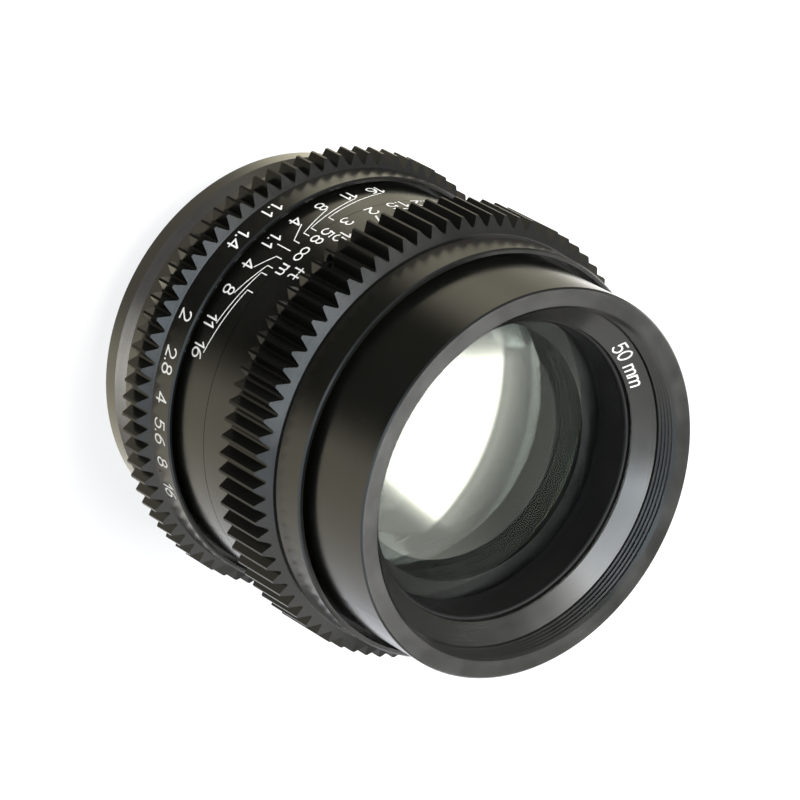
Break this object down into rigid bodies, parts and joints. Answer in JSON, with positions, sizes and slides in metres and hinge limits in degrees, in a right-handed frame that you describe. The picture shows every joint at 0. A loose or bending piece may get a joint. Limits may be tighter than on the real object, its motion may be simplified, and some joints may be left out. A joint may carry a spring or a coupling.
{
  "type": "cinema prime lens",
  "caption": "Manual cinema prime lens with geared focus and aperture rings, engraved scales, a threaded front, a sliding optical block, a bladed iris and a bayonet rear mount.",
  "frame": {"origin": "centre of the mount flange, on the optical axis", "axes": "+Z along the optical axis from the mount towards the front, -Y through the index line, X to the right seen with the index line in front and the lens standing on its mount"},
  "size_m": [0.066, 0.066, 0.0689],
  "materials": {
    "black_anodised": "black anodised, semi-gloss",
    "matte_black": "black anodised, matte, anti-reflection",
    "optical_glass": "polished, green and magenta coated",
    "mount_chrome": "satin chrome",
    "steel": "plain steel",
    "white_paint": "enamel",
    "blade_steel": "blackened spring steel"
  },
  "bodies": {
    "base": {"bayonet_mount": "mount_chrome", "mount_screws": "steel", "mount_index_dot": "white_paint", "rear_baffle": "matte_black", "rear_housing": "black_anodised", "housing_screws": "steel", "fixed_barrel": "black_anodised", "focus_keys": "steel", "focus_stop_pin": "steel", "focus_retaining_ring": "matte_black"},
    "focus_ring": {"focus_sleeve": "black_anodised", "focus_gear": "black_anodised", "focus_gear_screws": "steel", "helicoid_nut": "matte_black"},
    "aperture_ring": {"aperture_ring": "black_anodised", "aperture_link": "steel", "link_screw": "steel"},
    "lens_block": {"block_tube": "matte_black", "front_barrel": "black_anodised", "name_ring": "black_anodised", "front_retaining_ring": "matte_black", "front_cell": "matte_black", "front_glass": "optical_glass", "front_spacer": "matte_black", "second_glass": "optical_glass", "thin_spacer": "matte_black", "third_glass": "optical_glass", "iris_housing": "matte_black", "iris_retainer": "steel", "rear_cell": "matte_black", "fourth_glass": "optical_glass", "fifth_glass": "optical_glass", "rear_spacer": "matte_black", "rear_glass": "optical_glass", "rear_retaining_ring": "matte_black"},
    "iris_cam": {"iris_cam_ring": "steel", "iris_rod": "steel"},
    "iris_blade_01": {"iris_blade_01": "blade_steel"},
    "iris_blade_02": {"iris_blade_02": "blade_steel"},
    "iris_blade_03": {"iris_blade_03": "blade_steel"},
    "iris_blade_04": {"iris_blade_04": "blade_steel"},
    "iris_blade_05": {"iris_blade_05": "blade_steel"},
    "iris_blade_06": {"iris_blade_06": "blade_steel"},
    "iris_blade_07": {"iris_blade_07": "blade_steel"},
    "iris_blade_08": {"iris_blade_08": "blade_steel"},
    "iris_blade_09": {"iris_blade_09": "blade_steel"},
    "iris_blade_10": {"iris_blade_10": "blade_steel"}
  },
  "joints": [
    {"name": "focus_turn", "type": "hinge", "parent": "base", "child": "focus_ring", "pos_m": [0, 0, 0], "axis": [0, 0, 1], "range_deg": [0, 117]},
    {"name": "block_slide", "type": "slide", "parent": "base", "child": "lens_block", "axis": [0, 0, 1], "range_m": [0, 0.00637]},
    {"name": "aperture_turn", "type": "hinge", "parent": "base", "child": "aperture_ring", "pos_m": [0, 0, 0], "axis": [0, 0, -1], "range_deg": [-7.2, 79.5]},
    {"name": "iris_cam_turn", "type": "hinge", "parent": "lens_block", "child": "iris_cam", "pos_m": [0, 0, 0], "axis": [0, 0, -1], "range_deg": [-7.25, 79.55]},
    {"name": "iris_blade_01_swing", "type": "hinge", "parent": "lens_block", "child": "iris_blade_01", "pos_m": [0.022, 0, 0.0235], "axis": [0, 0, 1], "range_deg": [-3.04, 33.07]},
    {"name": "iris_blade_02_swing", "type": "hinge", "parent": "lens_block", "child": "iris_blade_02", "pos_m": [0.0178, 0.01293, 0.0235], "axis": [0, 0, 1], "range_deg": [-3.04, 33.07]},
    {"name": "iris_blade_03_swing", "type": "hinge", "parent": "lens_block", "child": "iris_blade_03", "pos_m": [0.0068, 0.02092, 0.0235], "axis": [0, 0, 1], "range_deg": [-3.04, 33.07]},
    {"name": "iris_blade_04_swing", "type": "hinge", "parent": "lens_block", "child": "iris_blade_04", "pos_m": [-0.0068, 0.02092, 0.0235], "axis": [0, 0, 1], "range_deg": [-3.04, 33.07]},
    {"name": "iris_blade_05_swing", "type": "hinge", "parent": "lens_block", "child": "iris_blade_05", "pos_m": [-0.0178, 0.01293, 0.0235], "axis": [0, 0, 1], "range_deg": [-3.04, 33.07]},
    {"name": "iris_blade_06_swing", "type": "hinge", "parent": "lens_block", "child": "iris_blade_06", "pos_m": [-0.022, 0, 0.0235], "axis": [0, 0, 1], "range_deg": [-3.04, 33.07]},
    {"name": "iris_blade_07_swing", "type": "hinge", "parent": "lens_block", "child": "iris_blade_07", "pos_m": [-0.0178, -0.01293, 0.0235], "axis": [0, 0, 1], "range_deg": [-3.04, 33.07]},
    {"name": "iris_blade_08_swing", "type": "hinge", "parent": "lens_block", "child": "iris_blade_08", "pos_m": [-0.0068, -0.02092, 0.0235], "axis": [0, 0, 1], "range_deg": [-3.04, 33.07]},
    {"name": "iris_blade_09_swing", "type": "hinge", "parent": "lens_block", "child": "iris_blade_09", "pos_m": [0.0068, -0.02092, 0.0235], "axis": [0, 0, 1], "range_deg": [-3.04, 33.07]},
    {"name": "iris_blade_10_swing", "type": "hinge", "parent": "lens_block", "child": "iris_blade_10", "pos_m": [0.0178, -0.01293, 0.0235], "axis": [0, 0, 1], "range_deg": [-3.04, 33.07]}
  ],
  "couplings": [
    {"joint": "block_slide", "follows": "focus_turn", "m_per_rad": 0.0031194},
    {"joint": "iris_cam_turn", "follows": "aperture_turn", "ratio": 1},
    {"joint": "iris_blade_01_swing", "follows": "aperture_turn", "ratio": 0.41533},
    {"joint": "iris_blade_02_swing", "follows": "aperture_turn", "ratio": 0.41533},
    {"joint": "iris_blade_03_swing", "follows": "aperture_turn", "ratio": 0.41533},
    {"joint": "iris_blade_04_swing", "follows": "aperture_turn", "ratio": 0.41533},
    {"joint": "iris_blade_05_swing", "follows": "aperture_turn", "ratio": 0.41533},
    {"joint": "iris_blade_06_swing", "follows": "aperture_turn", "ratio": 0.41533},
    {"joint": "iris_blade_07_swing", "follows": "aperture_turn", "ratio": 0.41533},
    {"joint": "iris_blade_08_swing", "follows": "aperture_turn", "ratio": 0.41533},
    {"joint": "iris_blade_09_swing", "follows": "aperture_turn", "ratio": 0.41533},
    {"joint": "iris_blade_10_swing", "follows": "aperture_turn", "ratio": 0.41533}
  ]
}
